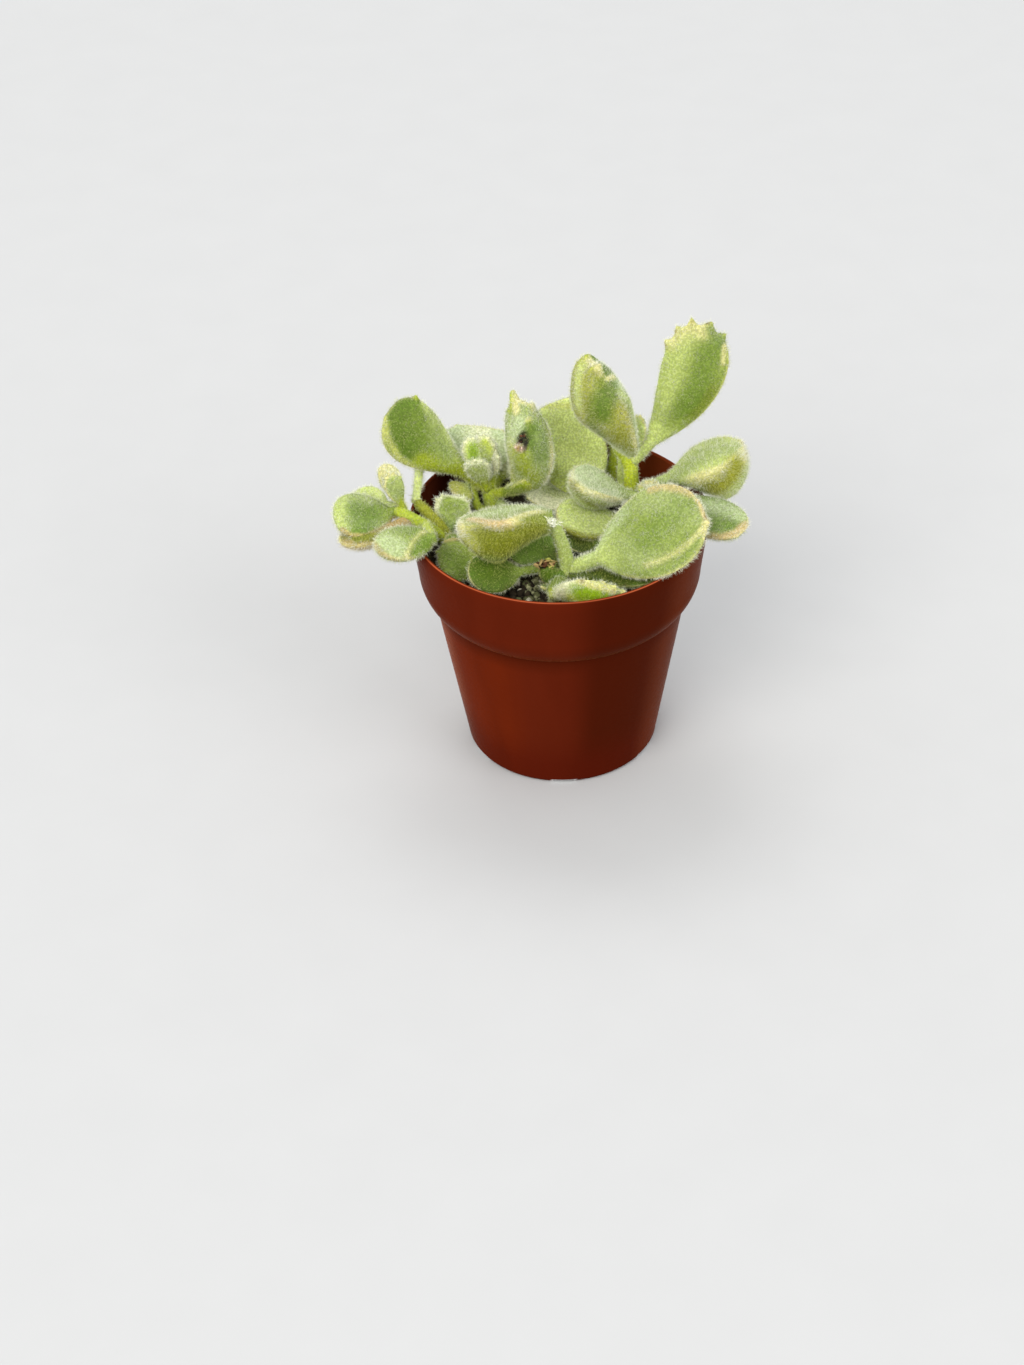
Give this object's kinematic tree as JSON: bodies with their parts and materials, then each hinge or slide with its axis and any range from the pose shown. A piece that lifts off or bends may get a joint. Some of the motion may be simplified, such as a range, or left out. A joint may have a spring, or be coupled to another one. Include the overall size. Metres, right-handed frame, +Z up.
{
  "type": "potted bear's paw succulent",
  "caption": "Small variegated bear's paw succulent with velvety toothed leaves on several stems, in soil in a round brown plastic nursery pot.",
  "frame": {"origin": "centre of the pot's flat underside", "axes": "+Z up along the pot's axis; -Y is the plant's front and +X its right, seen from the front"},
  "size_m": [0.091, 0.0683, 0.0947],
  "materials": {
    "pot_plastic": "smooth, slightly glossy terracotta brown",
    "soil": "dark, rough potting mix with pale grit",
    "leaf": "velvety green with cream margins"
  },
  "bodies": {
    "root": {"pot": "pot_plastic", "soil": "soil", "stem_left": "leaf", "stem_mid_left": "leaf", "stem_front": "leaf", "stem_front_left": "leaf", "stem_right": "leaf", "stem_centre_right": "leaf", "stem_back": "leaf"}
  },
  "joints": []
}
